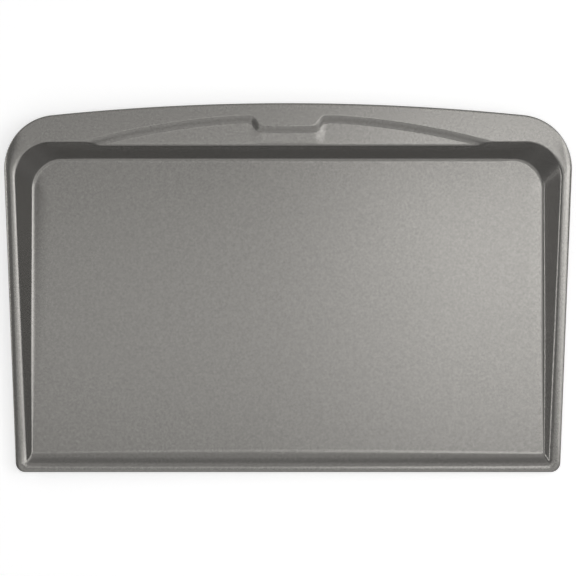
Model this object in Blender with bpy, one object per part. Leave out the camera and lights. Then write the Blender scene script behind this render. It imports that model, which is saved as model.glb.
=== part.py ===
"""Insulated cookie sheet: two pressed steel sheets with a layer of air between their floors.

The baking sheet has a flat floor, a wall at the back and at each side that gets lower towards the
front, a gentle lip at the front, and a wide flange at the back as a handle, with a sunk grip panel.
The base sheet lies under it. The edge of the baking sheet is rolled round the edge of the base sheet,
and that hem is all that holds the two together. Nothing on the real object moves.

+X runs across the sheet, +Y towards the handle and +Z up, with the origin on the table under the middle.
Each sheet is one half, lofted from sections that stand at stations along its rim, and then mirrored
and thickened.
"""

import math

import bmesh
import bpy
import numpy as np

MM = 0.001

# Sheet metal and the hem
SHEET_THICKNESS = 0.5 * MM
HEM_CLEARANCE = 0.3 * MM
HEM_LENGTH = 3.0 * MM
AIR_GAP = 4.5 * MM

# Floor of the baking sheet, up to the line where the flat walls would meet it
FLOOR_WIDTH = 391.2 * MM
FLOOR_FLARE = 0.6 * MM
FLOOR_DEPTH = 227.1 * MM
FLOOR_BACK_CORNER = 24.0 * MM
FLOOR_FRONT_CORNER = 3.0 * MM

# Walls and the front lip
BACK_WALL_RISE = 13.2 * MM
FRONT_LIP_RISE = 4.8 * MM
WALL_ANGLE = math.radians(45.5)
LIP_ANGLE = math.radians(36.2)
WALL_TOP_BACK_CORNER = 27.0 * MM
WALL_TOP_FRONT_CORNER = 1.8 * MM
WALL_FOOT_FILLET = 6.0 * MM
WALL_TOP_FILLET = 1.5 * MM
LIP_FOOT_FILLET = 14.0 * MM
LIP_TOP_FILLET = 9.0 * MM

# Rim and handle
SIDE_RIM_AT_BACK = 7.7 * MM
SIDE_RIM_AT_FRONT = 7.5 * MM
FRONT_RIM = 5.85 * MM
HANDLE_DEPTH = 29.4 * MM
HANDLE_TILT = math.radians(1.5)
HANDLE_ARCH_RADIUS = 1771.0 * MM
OUTLINE_BACK_CORNER = 41.0 * MM
OUTLINE_FRONT_CORNER = 7.3 * MM
RIM_RISE_ANGLE = math.radians(30.0)
RIM_FALL_ANGLE = math.radians(40.0)
FRONT_RIM_FALL_ANGLE = math.radians(15.0)
RIM_ROUNDS_FROM = 0.4

# Grip panel sunk in the handle, the plain pad at the middle of it, and the ramp up to the pad's foot
GRIP_BORDER = 11.2 * MM
GRIP_ARCH_RADIUS = 590.0 * MM
GRIP_DEPTH = 2.6 * MM
GRIP_TILT = math.radians(0.6)
GRIP_STEP_WIDTH = 6.5 * MM
PAD_HALF_WIDTH = 22.8 * MM
PAD_REACH = 20.0 * MM
PAD_FLARE_ANGLE = math.radians(24.5)
PAD_CORNER = 3.0 * MM
PAD_STEP_WIDTH = 5.2 * MM
PAD_RAMP_RISE = 0.9 * MM
PAD_RAMP_MARGIN = 1.6 * MM
PAD_RAMP_SIDE = 9.0 * MM

# Base sheet
BASE_FOOT_FILLET = 3.0 * MM
BASE_TOP_FILLET = 2.0 * MM
SPACER_DIAMETER = 20.0 * MM
SPACER_TOP_DIAMETER = 10.0 * MM
SPACER_FILLET = 0.8 * MM
SPACER_CLEARANCE = 0.3 * MM
SPACER_COLUMN_PITCH = 95.0 * MM
SPACER_ROW_PITCH = 72.0 * MM
SPACER_COLUMNS_PER_HALF = 2
SPACER_ROWS = 3

# Greatest shares: of a wall for the fillets at its foot and its top, of the rim for the hem
FOOT_SHARE = 0.6
TOP_SHARE = 1.0 - FOOT_SHARE
HEM_SHARE = 0.5

# Coatings: colour, and how rough and how metallic they are
TOP_COLOUR = (0.33, 0.325, 0.31)
TOP_ROUGHNESS = 0.38
UNDERSIDE_COLOUR = (0.27, 0.265, 0.255)
UNDERSIDE_ROUGHNESS = 0.45
METAL_SHARE = 0.8

# How finely the curves are divided, and where along the handle the stations lie closer
PAD_STEPS = 2
FLARE_STEPS = 8
PANEL_STEPS = 6
TIP_STEPS = 5
PAST_TIP_STEPS = 3
TIP_STARTS_AT = 0.8
CORNER_STEPS = 8
SIDE_STEPS = 3
FRONT_CORNER_STEPS = 6
FRONT_STEPS = 2
FILLET_STEPS = 3
STEP_ROWS = 4
EDGE_ROWS = 3
HEM_STEPS = 5
LEG_STEPS = 2
SPACER_SIDES = 14
HALVINGS = 40
LEAST_ROW_STEP = 0.25 * MM
LEAST_ANGLE = 1e-6
CORNER_MARGIN = 0.95
MERGE_DISTANCE = 0.00005

# Heights of the upper faces of the two floors
BASE_FLOOR_Z = SHEET_THICKNESS
FLOOR_Z = BASE_FLOOR_Z + AIR_GAP + SHEET_THICKNESS

# Middle line of the hem: the sheets' clearances and half the base sheet lie inside it
HEM_RADIUS = SHEET_THICKNESS + HEM_CLEARANCE + SHEET_THICKNESS / 2
NEST_DEPTH = SHEET_THICKNESS + HEM_CLEARANCE

# Lines across the plan, from the front edge to the back edge, centred on the origin
BACK_WALL_RUN = BACK_WALL_RISE / math.tan(WALL_ANGLE)
LIP_RUN = FRONT_LIP_RISE / math.tan(LIP_ANGLE)
OVERALL_DEPTH = FRONT_RIM + LIP_RUN + FLOOR_DEPTH + BACK_WALL_RUN + HANDLE_DEPTH
FRONT_EDGE_Y = -OVERALL_DEPTH / 2
LIP_TOP_Y = FRONT_EDGE_Y + FRONT_RIM
LIP_FOOT_Y = LIP_TOP_Y + LIP_RUN
WALL_FOOT_Y = LIP_FOOT_Y + FLOOR_DEPTH
WALL_TOP_Y = WALL_FOOT_Y + BACK_WALL_RUN
HANDLE_EDGE_Y = WALL_TOP_Y + HANDLE_DEPTH

# Side walls: full height as far forward as the back corner, then falling to the lip's height
SIDE_FOOT_X_AT_BACK = FLOOR_WIDTH / 2
SIDE_FOOT_X_AT_FRONT = SIDE_FOOT_X_AT_BACK + FLOOR_FLARE
FALL_START_Y = WALL_TOP_Y - WALL_TOP_BACK_CORNER
SIDE_TOP_X_AT_BACK = SIDE_FOOT_X_AT_BACK + BACK_WALL_RUN
SIDE_TOP_X_AT_FRONT = SIDE_FOOT_X_AT_FRONT + FRONT_LIP_RISE / math.tan(WALL_ANGLE)

# Step round the grip panel, measured at its middle line
GRIP_ARCH_TOP_Y = HANDLE_EDGE_Y - GRIP_BORDER
GRIP_ARCH_CENTRE_Y = GRIP_ARCH_TOP_Y - GRIP_ARCH_RADIUS
PAD_FOOT_Y = HANDLE_EDGE_Y - PAD_REACH
GRIP_LOW_Y = WALL_TOP_Y - GRIP_DEPTH


def smooth(t):
    """0 up to 1 with no corner at either end."""
    t = min(max(t, 0.0), 1.0)
    return t * t * (3.0 - 2.0 * t)


def mix(a, b, t):
    return a + (b - a) * t


def unit(v):
    return v / np.linalg.norm(v)


def spread(start, end, steps):
    """Evenly spaced values after start, up to end."""
    return [mix(start, end, k / steps) for k in range(1, steps + 1)]


class Ring:
    """A line round the right half of the plan: along the back, round a corner, down the side, round the
    front corner and along the front. The side is a straight line through two points. The back is straight,
    or an arch of arch_radius."""

    def __init__(self, back_y, front_y, side_back, side_front, back_corner, front_corner, arch_radius=None):
        side_back, side_front = np.array(side_back), np.array(side_front)
        down = unit(side_front - side_back)
        out = np.array([-down[1], down[0]])
        self.back_y, self.front_y, self.arch_radius = back_y, front_y, arch_radius
        self.back_corner, self.front_corner = back_corner, front_corner
        self.side_angle = math.atan2(out[1], out[0])
        on_inner = side_back - out * back_corner
        if arch_radius is None:
            along = (back_y - back_corner - on_inner[1]) / down[1]
            self.back_centre = on_inner + down * along
            self.back_angle = math.pi / 2
        else:
            arch_centre = np.array([0.0, back_y - arch_radius])
            offset = on_inner - arch_centre
            half = offset @ down
            reach = arch_radius - back_corner
            along = -half - math.sqrt(half * half - offset @ offset + reach * reach)
            self.back_centre = on_inner + down * along
            towards = self.back_centre - arch_centre
            self.back_angle = math.atan2(towards[1], towards[0])
        on_inner = side_back - out * front_corner
        along = (front_y + front_corner - on_inner[1]) / down[1]
        self.front_centre = on_inner + down * along
        self.back_end_x = self.around(self.back_centre, back_corner, self.back_angle)[0]

    def around(self, centre, radius, angle):
        return centre + radius * np.array([math.cos(angle), math.sin(angle)])

    def at_back(self, x):
        if self.arch_radius is None:
            return np.array([x, self.back_y])
        sag = self.arch_radius - math.sqrt(self.arch_radius**2 - x * x)
        return np.array([x, self.back_y - sag])

    def at_back_corner(self, t):
        angle = mix(self.back_angle, self.side_angle, t)
        return self.around(self.back_centre, self.back_corner, angle)

    def at_side(self, t):
        start = self.around(self.back_centre, self.back_corner, self.side_angle)
        end = self.around(self.front_centre, self.front_corner, self.side_angle)
        return mix(start, end, t)

    def at_front_corner(self, t):
        angle = mix(self.side_angle, -math.pi / 2, t)
        return self.around(self.front_centre, self.front_corner, angle)

    def at_front(self, t):
        return np.array([self.front_centre[0] * (1.0 - t), self.front_y])


FOOT = Ring(
    WALL_FOOT_Y,
    LIP_FOOT_Y,
    (SIDE_FOOT_X_AT_BACK, FALL_START_Y),
    (SIDE_FOOT_X_AT_FRONT, LIP_TOP_Y),
    FLOOR_BACK_CORNER,
    FLOOR_FRONT_CORNER,
)
WALL_TOP = Ring(
    WALL_TOP_Y,
    LIP_TOP_Y,
    (SIDE_TOP_X_AT_BACK, FALL_START_Y),
    (SIDE_TOP_X_AT_FRONT, LIP_TOP_Y),
    WALL_TOP_BACK_CORNER,
    WALL_TOP_FRONT_CORNER,
)
OUTLINE = Ring(
    HANDLE_EDGE_Y,
    FRONT_EDGE_Y,
    (SIDE_TOP_X_AT_BACK + SIDE_RIM_AT_BACK, FALL_START_Y),
    (SIDE_TOP_X_AT_FRONT + SIDE_RIM_AT_FRONT, LIP_TOP_Y),
    OUTLINE_BACK_CORNER,
    OUTLINE_FRONT_CORNER,
    HANDLE_ARCH_RADIUS,
)
RINGS = (FOOT, WALL_TOP, OUTLINE)


def wall_rise(y):
    """Height of the wall's top over the floor, at this place along a side."""
    share = (y - LIP_TOP_Y) / (FALL_START_Y - LIP_TOP_Y)
    return mix(FRONT_LIP_RISE, BACK_WALL_RISE, min(max(share, 0.0), 1.0))


def smooth_max(a, b, rounding):
    return (a + b + math.sqrt((a - b) ** 2 + rounding**2)) / 2


def across_step(x, y):
    """Place across the step round the grip panel: -0.5 at its foot, 0 half way and 0.5 at its top."""
    beyond_arch = math.hypot(x, y - GRIP_ARCH_CENTRE_Y) - GRIP_ARCH_RADIUS
    pad_edge_x = PAD_HALF_WIDTH + (y - PAD_FOOT_Y) * math.tan(PAD_FLARE_ANGLE)
    beside_pad = (abs(x) - pad_edge_x) * math.cos(PAD_FLARE_ANGLE)
    outside_pad = smooth_max(beside_pad, PAD_FOOT_Y - y, PAD_CORNER)
    rounding = PAD_CORNER / GRIP_STEP_WIDTH
    return smooth_max(beyond_arch / GRIP_STEP_WIDTH, -outside_pad / PAD_STEP_WIDTH, rounding)


def ramp_height(x, y):
    """How far the panel rises from the wall to the foot of the pad, on a ramp a little wider than the pad."""
    climb = min(max((y - GRIP_LOW_Y) / (PAD_FOOT_Y - GRIP_LOW_Y), 0.0), 1.0)
    beside = (abs(x) - PAD_HALF_WIDTH - PAD_RAMP_MARGIN) / PAD_RAMP_SIDE
    return PAD_RAMP_RISE * climb * (1.0 - smooth(beside + 0.5))


def grip_depth(x, y):
    """How far the handle is sunk at this place of the plan."""
    panel = GRIP_DEPTH - (y - GRIP_LOW_Y) * math.tan(GRIP_TILT) - ramp_height(x, y)
    return panel * (1.0 - smooth(across_step(x, y) + 0.5))


def grip_tip_x():
    """Where the outer edge of the step runs into the top of the back wall."""
    radius = GRIP_ARCH_RADIUS + GRIP_STEP_WIDTH / 2
    return math.sqrt(radius**2 - (WALL_TOP_Y - GRIP_ARCH_CENTRE_Y) ** 2)


def y_on_step(x, low_y, high_y, place):
    """The y of this place across the step, found by halving."""
    for _ in range(HALVINGS):
        middle = (low_y + high_y) / 2
        if across_step(x, middle) < place:
            low_y = middle
        else:
            high_y = middle
    return low_y


def bend(corner, towards_a, towards_b, tangent, steps):
    """Points of the arc that rounds a corner, from one leg to the other, with this tangent length."""
    middle = unit(towards_a + towards_b)
    reach = tangent / (towards_a @ middle)
    centre = corner + middle * reach
    start, end = corner + towards_a * tangent - centre, corner + towards_b * tangent - centre
    angle = math.acos(min(max(unit(start) @ unit(end), -1.0), 1.0))
    if angle < LEAST_ANGLE:
        return [corner + mix(towards_a, towards_b, k / steps) * tangent for k in range(steps + 1)]
    points = []
    for k in range(steps + 1):
        share = k / steps
        turned = start * math.sin(angle * (1.0 - share)) + end * math.sin(angle * share)
        points.append(centre + turned / math.sin(angle))
    return points


def turn_between(a, b):
    return math.acos(min(max(unit(a) @ unit(b), -1.0), 1.0))


def tangent_length(radius, turn, leg, share):
    """Tangent length of a fillet, no longer than its share of the wall that it rounds."""
    return min(radius * math.tan(turn / 2), leg * share)


class Station:
    """One section of the baking sheet, from the floor out to the start of the hem."""

    def __init__(self, plan, in_handle=False, to_side=1.0, to_front=0.0):
        self.foot, self.top, self.edge = plan
        self.in_handle = in_handle
        self.rise_angle = mix(HANDLE_TILT, RIM_RISE_ANGLE, to_side) * (1.0 - to_front)
        fall_angle = mix(-HANDLE_TILT, RIM_FALL_ANGLE, to_side)
        self.fall_angle = mix(fall_angle, FRONT_RIM_FALL_ANGLE, to_front)
        self.foot_fillet = mix(WALL_FOOT_FILLET, LIP_FOOT_FILLET, to_front)
        self.top_fillet = mix(WALL_TOP_FILLET, LIP_TOP_FILLET, to_front)

    def sunk(self, x, y):
        return grip_depth(x, y) if self.in_handle else 0.0

    def lower_the_wall_top(self):
        """Slides the wall's top down the wall to where the sunk panel meets it, and gives the flange's
        level there as well."""
        rise = wall_rise(self.top[1])
        foot = np.array([*self.foot, FLOOR_Z])
        top = full = np.array([*self.top, FLOOR_Z + rise])
        level = full[2]
        for _ in range(HALVINGS):
            level = full[2] - np.linalg.norm((full - top)[:2]) * math.tan(self.rise_angle)
            top = mix(foot, full, (level - self.sunk(top[0], top[1]) - FLOOR_Z) / rise)
        return foot, top, level

    def crown(self, across, width):
        """Height of the rim's rounded back above where it starts, or of the handle's plain slope."""
        sines = math.sin(self.rise_angle) + math.sin(self.fall_angle)
        if sines < LEAST_ANGLE:
            return across * math.tan(self.rise_angle)
        radius = width / sines
        slope = math.asin(max(math.sin(self.rise_angle) - across / radius, -1.0))
        return radius * (math.cos(slope) - math.cos(self.rise_angle))

    def points(self, spacing_of_step):
        foot, top, level = self.lower_the_wall_top()
        wall = top - foot
        wall_length = np.linalg.norm(wall)
        inward = foot - np.array([*self.top, FLOOR_Z])
        out = unit(self.edge - top[:2])
        end = np.linalg.norm(self.edge - top[:2]) - HEM_RADIUS * (1.0 - math.sin(self.fall_angle))

        def on_flange(across, rise):
            x, y = top[:2] + out * across
            return np.array([x, y, level + rise - self.sunk(x, y)])

        near = WALL_TOP_FILLET * math.tan(WALL_ANGLE / 2)
        rough = on_flange(near, near * math.tan(self.rise_angle)) - top
        turn = turn_between(wall, rough)
        tangent = tangent_length(self.top_fillet, turn, wall_length, TOP_SHARE)
        start = tangent * np.linalg.norm(rough[:2]) / np.linalg.norm(rough)
        lift = start * math.tan(self.rise_angle)
        flange_start = on_flange(start, lift)
        leg = flange_start - top
        tangent = np.linalg.norm(leg)

        turn = turn_between(-inward, wall)
        foot_tangent = tangent_length(self.foot_fillet, turn, wall_length, FOOT_SHARE)
        points = bend(foot, unit(inward), unit(wall), foot_tangent, FILLET_STEPS)
        points += bend(top, -unit(wall), unit(leg), tangent, FILLET_STEPS)[:-1]
        width = end - start
        hem_start = max(end - HEM_LENGTH, end - width * HEM_SHARE)
        rows = [mix(start, hem_start, k / (STEP_ROWS + 1)) for k in range(1, STEP_ROWS + 1)]
        if self.in_handle:
            rows = self.rows_on_step(rows, top, out, start, hem_start, spacing_of_step)
        rows = [start, *rows, hem_start, *spread(hem_start, end, EDGE_ROWS - 1)]
        points += [on_flange(row, lift + self.crown(row - start, width)) for row in rows]
        return points

    def rows_on_step(self, rows, top, out, start, hem_start, weight):
        """Moves the rows of the flange on to the step, so that few rows follow it closely."""
        placed = []
        for k, plain in enumerate(rows):
            y = y_on_step(top[0], top[1], self.edge[1], k / (STEP_ROWS - 1) - 0.5)
            row = mix(plain, (y - top[1]) / out[1], weight)
            low = start + (k + 1) * LEAST_ROW_STEP
            high = hem_start - (STEP_ROWS - k) * LEAST_ROW_STEP
            placed.append(min(max(row, low), high))
        return placed


def handle_stations():
    """Stations from the middle of the handle to the start of the back corner, closest round the pad."""
    flare = (HANDLE_EDGE_Y - GRIP_BORDER - PAD_FOOT_Y) * math.tan(PAD_FLARE_ANGLE)
    reach = GRIP_STEP_WIDTH / 2
    pad_in = max(PAD_HALF_WIDTH - reach, PAD_HALF_WIDTH / 2)
    pad_out = PAD_HALF_WIDTH + flare + reach
    tip_out = min(grip_tip_x(), WALL_TOP.back_end_x * CORNER_MARGIN)
    tip_in = mix(pad_out, tip_out, TIP_STARTS_AT)
    places = [0.0]
    places += spread(0.0, pad_in, PAD_STEPS)
    places += spread(pad_in, pad_out, FLARE_STEPS)
    places += spread(pad_out, tip_in, PANEL_STEPS)
    places += spread(tip_in, tip_out, TIP_STEPS)
    places += spread(tip_out, WALL_TOP.back_end_x, PAST_TIP_STEPS)
    parallel_to = min(tip_out, min(ring.back_end_x for ring in RINGS) * CORNER_MARGIN)
    stations = []
    for x in places:
        past = max(x - parallel_to, 0.0) / (WALL_TOP.back_end_x - parallel_to)
        plan = [ring.at_back(x if past == 0 else mix(parallel_to, ring.back_end_x, past)) for ring in RINGS]
        stations.append((Station(plan, in_handle=True, to_side=0.0), 1.0 - past))
    return stations


def stations_round_the_rim():
    stations = handle_stations()
    for t in spread(0.0, 1.0, CORNER_STEPS):
        rounded = smooth((t - RIM_ROUNDS_FROM) / (1.0 - RIM_ROUNDS_FROM))
        stations.append((Station([ring.at_back_corner(t) for ring in RINGS], to_side=rounded), 0.0))
    for t in spread(0.0, 1.0, SIDE_STEPS):
        stations.append((Station([ring.at_side(t) for ring in RINGS]), 0.0))
    for t in spread(0.0, 1.0, FRONT_CORNER_STEPS):
        stations.append((Station([ring.at_front_corner(t) for ring in RINGS], to_front=smooth(t)), 0.0))
    for t in spread(0.0, 1.0, FRONT_STEPS):
        stations.append((Station([ring.at_front(t) for ring in RINGS], to_front=1.0), 0.0))
    return stations


def directions(points):
    """Mean direction of the two runs that meet at each point of a line, one run at its ends."""
    runs = points[1:] - points[:-1]
    runs = runs / np.linalg.norm(runs, axis=-1, keepdims=True)
    return np.concatenate([runs[:1], runs[:-1] + runs[1:], runs[-1:]])


def surface_directions(grid):
    """Outward and sideways directions, and normals, of a grid of rows by stations."""
    outward = directions(grid)
    sideways = directions(grid.transpose(1, 0, 2)).transpose(1, 0, 2)
    sideways[:, [0, -1], 1:] = 0.0
    normals = np.cross(sideways, outward)
    normals /= np.linalg.norm(normals, axis=-1, keepdims=True)
    sideways /= np.linalg.norm(sideways, axis=-1, keepdims=True)
    return sideways, normals


def back_from_edge(points, normals, distance):
    """Place and normal at this distance inward from the end of a section."""
    left = distance
    for k in range(len(points) - 1, 0, -1):
        run = np.linalg.norm(points[k] - points[k - 1])
        if left <= run or k == 1:
            t = min(left / run, 1.0)
            return mix(points[k], points[k - 1], t), unit(mix(normals[k], normals[k - 1], t))
        left -= run


def hem_rows(points, sideways, normal, normals):
    """The roll round the base sheet's edge, and the leg that lies back under it."""
    centre = points[-1] - normal * HEM_RADIUS
    out = np.cross(sideways, normal) * -1.0
    rows = []
    for angle in spread(0.0, math.pi, HEM_STEPS):
        rows.append(centre + (normal * math.cos(angle) + out * math.sin(angle)) * HEM_RADIUS)
    for distance in spread(0.0, HEM_LENGTH, LEG_STEPS):
        place, tilt = back_from_edge(points, normals, distance)
        rows.append(place - tilt * 2 * HEM_RADIUS)
    return rows


def nested_section(points, normals, foot, steps):
    """Section of the base sheet: the flange lies under the baking sheet's, the wall is steeper."""
    runs = np.linalg.norm(np.diff(points, axis=0), axis=-1)
    from_edge = np.concatenate([np.cumsum(runs[::-1])[::-1], [0.0]])
    before_hem = steps - EDGE_ROWS
    wanted = []
    for k in range(before_hem):
        inner = from_edge[len(points) - steps + k]
        wanted.append(max(inner, HEM_LENGTH + (before_hem - k) * LEAST_ROW_STEP))
    wanted += [HEM_LENGTH, *spread(HEM_LENGTH, 0.0, EDGE_ROWS - 1)]
    flange = []
    for distance in wanted:
        place, tilt = back_from_edge(points, normals, distance)
        flange.append(place - tilt * NEST_DEPTH)
    start, _ = back_from_edge(points, normals, wanted[0])
    before, _ = back_from_edge(points, normals, wanted[0] + LEAST_ROW_STEP)
    into_wall = unit(before - start)
    rough = foot - flange[0]
    turn = turn_between(into_wall, rough)
    tangent = tangent_length(BASE_TOP_FILLET, turn, np.linalg.norm(rough), TOP_SHARE)
    top = flange[0] + into_wall * tangent
    wall = top - foot
    inward = np.array([*(foot[:2] - top[:2]), 0.0])
    turn = turn_between(-inward, wall)
    foot_tangent = tangent_length(BASE_FOOT_FILLET, turn, np.linalg.norm(wall), FOOT_SHARE)
    rows = bend(foot, unit(inward), unit(wall), foot_tangent, FILLET_STEPS)
    rows += bend(top, -unit(wall), -into_wall, tangent, FILLET_STEPS)[:-1]
    return rows + flange


def coating(name, colour, roughness):
    """Grey non-stick coating with metal in it."""
    material = bpy.data.materials.new(name)
    material.use_nodes = True
    shader = material.node_tree.nodes["Principled BSDF"]
    shader.inputs["Base Color"].default_value = (*colour, 1.0)
    shader.inputs["Metallic"].default_value = METAL_SHARE
    shader.inputs["Roughness"].default_value = roughness
    return material


def loft(bm, grid):
    """Faces between the rows of a grid, with their fronts up, and the vertices of its first row."""
    rows = [[bm.verts.new(point) for point in row] for row in grid]
    for lower, upper in zip(rows, rows[1:]):
        for k in range(len(lower) - 1):
            bm.faces.new((lower[k], lower[k + 1], upper[k + 1], upper[k]))
    return rows[0]


def add_sheet(name, bm, material):
    """The object: half a sheet's upper face, mirrored and given its thickness downwards."""
    for corner in bm.verts:
        if abs(corner.co.x) < MERGE_DISTANCE:
            corner.co.x = 0.0
    mesh = bpy.data.meshes.new(name)
    bm.to_mesh(mesh)
    bm.free()
    mesh.shade_smooth()
    mesh.materials.append(material)
    sheet = bpy.data.objects.new(name, mesh)
    bpy.context.scene.collection.objects.link(sheet)
    mirror = sheet.modifiers.new("other half", "MIRROR")
    mirror.use_axis = (True, False, False)
    mirror.merge_threshold = MERGE_DISTANCE
    solidify = sheet.modifiers.new("sheet thickness", "SOLIDIFY")
    solidify.thickness = SHEET_THICKNESS
    solidify.offset = -1.0
    solidify.use_even_offset = True
    return sheet


def make_baking_sheet(grid, sideways, normals):
    sections = []
    for k in range(grid.shape[1]):
        points, tilts = grid[:, k], normals[:, k]
        sections.append([*points, *hem_rows(points, sideways[-1, k], tilts[-1], tilts)])
    bm = bmesh.new()
    floor_edge = loft(bm, np.array(sections).transpose(1, 0, 2))
    bm.faces.new(floor_edge[::-1])
    return add_sheet("baking_sheet", bm, coating("top_coating", TOP_COLOUR, TOP_ROUGHNESS))


def spacer_places():
    """Middles of the spacers on the right half: columns and rows about the middle of the floor."""
    middle_y = (LIP_FOOT_Y + WALL_FOOT_Y) / 2
    for column in range(SPACER_COLUMNS_PER_HALF):
        for row in range(SPACER_ROWS):
            yield (
                (column + 0.5) * SPACER_COLUMN_PITCH,
                middle_y + (row - (SPACER_ROWS - 1) / 2) * SPACER_ROW_PITCH,
            )


def press_spacer(bm, x, y):
    """A round spacer pressed up from the floor, and the edges of its foot."""
    height = AIR_GAP - SPACER_CLEARANCE
    foot, top = SPACER_DIAMETER / 2, SPACER_TOP_DIAMETER / 2
    lean = math.atan2(height, foot - top)
    along, up = SPACER_FILLET * math.cos(lean), SPACER_FILLET * math.sin(lean)
    profile = [(foot + SPACER_FILLET, 0.0), (foot - along, up), (top + along, height - up)]
    profile.append((top - SPACER_FILLET, height))
    rings = []
    for radius, rise in profile:
        turns = [2 * math.pi * k / SPACER_SIDES for k in range(SPACER_SIDES)]
        rings.append([
            bm.verts.new((x + radius * math.cos(turn), y + radius * math.sin(turn), BASE_FLOOR_Z + rise))
            for turn in turns
        ])
    for outer, inner in zip(rings, rings[1:]):
        for k in range(SPACER_SIDES):
            following = (k + 1) % SPACER_SIDES
            bm.faces.new((outer[k], outer[following], inner[following], inner[k]))
    bm.faces.new(rings[-1])
    return [edge for corner in rings[0] for edge in corner.link_edges if edge.other_vert(corner) in rings[0]]


def make_base_sheet(grid, normals, feet):
    sections = []
    for k in range(grid.shape[1]):
        foot = np.array([*feet[k], BASE_FLOOR_Z])
        sections.append(nested_section(grid[:, k], normals[:, k], foot, 1 + STEP_ROWS + EDGE_ROWS))
    bm = bmesh.new()
    floor_edge = loft(bm, np.array(sections).transpose(1, 0, 2))
    around = {bm.edges.get(pair) for pair in zip(floor_edge, floor_edge[1:])}
    around.add(bm.edges.new((floor_edge[-1], floor_edge[0])))
    for x, y in spacer_places():
        around.update(press_spacer(bm, x, y))
    bmesh.ops.triangle_fill(bm, edges=list(around), use_beauty=True, normal=(0.0, 0.0, 1.0))
    return add_sheet("base_sheet", bm, coating("underside_coating", UNDERSIDE_COLOUR, UNDERSIDE_ROUGHNESS))


for old in list(bpy.data.objects):
    bpy.data.objects.remove(old, do_unlink=True)

STATIONS = stations_round_the_rim()
GRID = np.array([station.points(weight) for station, weight in STATIONS]).transpose(1, 0, 2)
SIDEWAYS, NORMALS = surface_directions(GRID)
make_baking_sheet(GRID, SIDEWAYS, NORMALS)
make_base_sheet(GRID, NORMALS, [station.foot for station, _ in STATIONS])
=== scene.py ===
# %% [markdown]
# # An insulated cookie sheet
# The object is two pressed steel sheets with a layer of air between their floors, seen straight from above.
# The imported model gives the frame: how big the sheets are and where they sit. This script makes the surfaces
# that are looked at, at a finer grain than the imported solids, and gives them their grey non-stick coating.

import math

import bmesh
import bpy
import numpy as np
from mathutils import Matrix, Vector


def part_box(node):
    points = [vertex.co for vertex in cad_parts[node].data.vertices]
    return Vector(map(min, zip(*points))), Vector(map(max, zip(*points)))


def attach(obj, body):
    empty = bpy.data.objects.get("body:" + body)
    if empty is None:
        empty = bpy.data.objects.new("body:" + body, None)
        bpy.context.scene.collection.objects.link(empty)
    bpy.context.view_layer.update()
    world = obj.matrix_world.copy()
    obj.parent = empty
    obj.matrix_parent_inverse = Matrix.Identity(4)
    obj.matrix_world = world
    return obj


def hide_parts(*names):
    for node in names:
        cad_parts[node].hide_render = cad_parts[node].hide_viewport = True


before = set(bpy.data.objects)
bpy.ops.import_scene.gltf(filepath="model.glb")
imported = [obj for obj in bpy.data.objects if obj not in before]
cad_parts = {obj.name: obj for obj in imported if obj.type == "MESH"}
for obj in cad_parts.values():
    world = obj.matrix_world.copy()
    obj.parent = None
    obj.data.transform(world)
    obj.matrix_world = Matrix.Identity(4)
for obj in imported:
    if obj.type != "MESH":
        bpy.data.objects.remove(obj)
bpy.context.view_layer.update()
sheet_low, sheet_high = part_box("baking_sheet")
base_low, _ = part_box("base_sheet")
print("baking sheet, from", [round(v, 4) for v in sheet_low])
print("to", [round(v, 4) for v in sheet_high])

# %% [markdown]
# ## Sizes
# Lengths are in metres, and MM keeps them readable. The back and front edges and the lower floor's level come
# from the frame. The rest are the sizes a press maker would give: where the flat faces would meet, how steep
# they are and how round each bend is.

# %% Named sizes
MM = 0.001

THICKNESS = 0.5 * MM
HEM_CLEARANCE = 0.3 * MM
HEM_LENGTH = 3.0 * MM
AIR_GAP = 4.5 * MM

BACK_EDGE_Y = float(sheet_high[1])
ROLL_SWELL = 0.06 * MM
FRONT_EDGE_Y = float(sheet_low[1]) + ROLL_SWELL
HANDLE_DEPTH = 29.4 * MM
HANDLE_TILT = math.radians(1.5)
FRONT_RIM = 5.85 * MM

FOOT_X_BACK, FOOT_X_FRONT = 195.6 * MM, 196.2 * MM
WALL_RISE = 13.2 * MM
LIP_RISE = 4.8 * MM
WALL_ANGLE = math.radians(45.5)
LIP_ANGLE = math.radians(36.2)
BASE_FLOOR_Z = float(base_low[2]) + THICKNESS
FLOOR_Z = BASE_FLOOR_Z + AIR_GAP + THICKNESS
HANDLE_Z = FLOOR_Z + WALL_RISE

WALL_TOP_Y = BACK_EDGE_Y - HANDLE_DEPTH
WALL_FOOT_Y = WALL_TOP_Y - WALL_RISE / math.tan(WALL_ANGLE)
LIP_TOP_Y = FRONT_EDGE_Y + FRONT_RIM
LIP_FOOT_Y = LIP_TOP_Y + LIP_RISE / math.tan(LIP_ANGLE)

print("floor", round((WALL_FOOT_Y - LIP_FOOT_Y) / MM, 1), "mm deep")
print("handle at", round(HANDLE_Z / MM, 1), "mm above the table")

# %% [markdown]
# ## Three lines round the sheet
# A pressed tray is easiest to draw as a few closed lines: the foot of the walls, the top of the walls and the
# outer edge. Each is straight along the sides and the front, with its own corner radii, and the outer edge is
# a shallow arch at the back. Drawing one half and mirroring it later keeps the two sides alike.

# %% A line round half the plan
def unit(v):
    return v / np.linalg.norm(v)


def mix(a, b, t):
    return a + (b - a) * t


def smooth(t):
    t = min(max(t, 0.0), 1.0)
    return t * t * (3.0 - 2.0 * t)


def spread(start, end, steps):
    """Evenly spaced values after start, up to end."""
    return [mix(start, end, k / steps) for k in range(1, steps + 1)]


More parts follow.
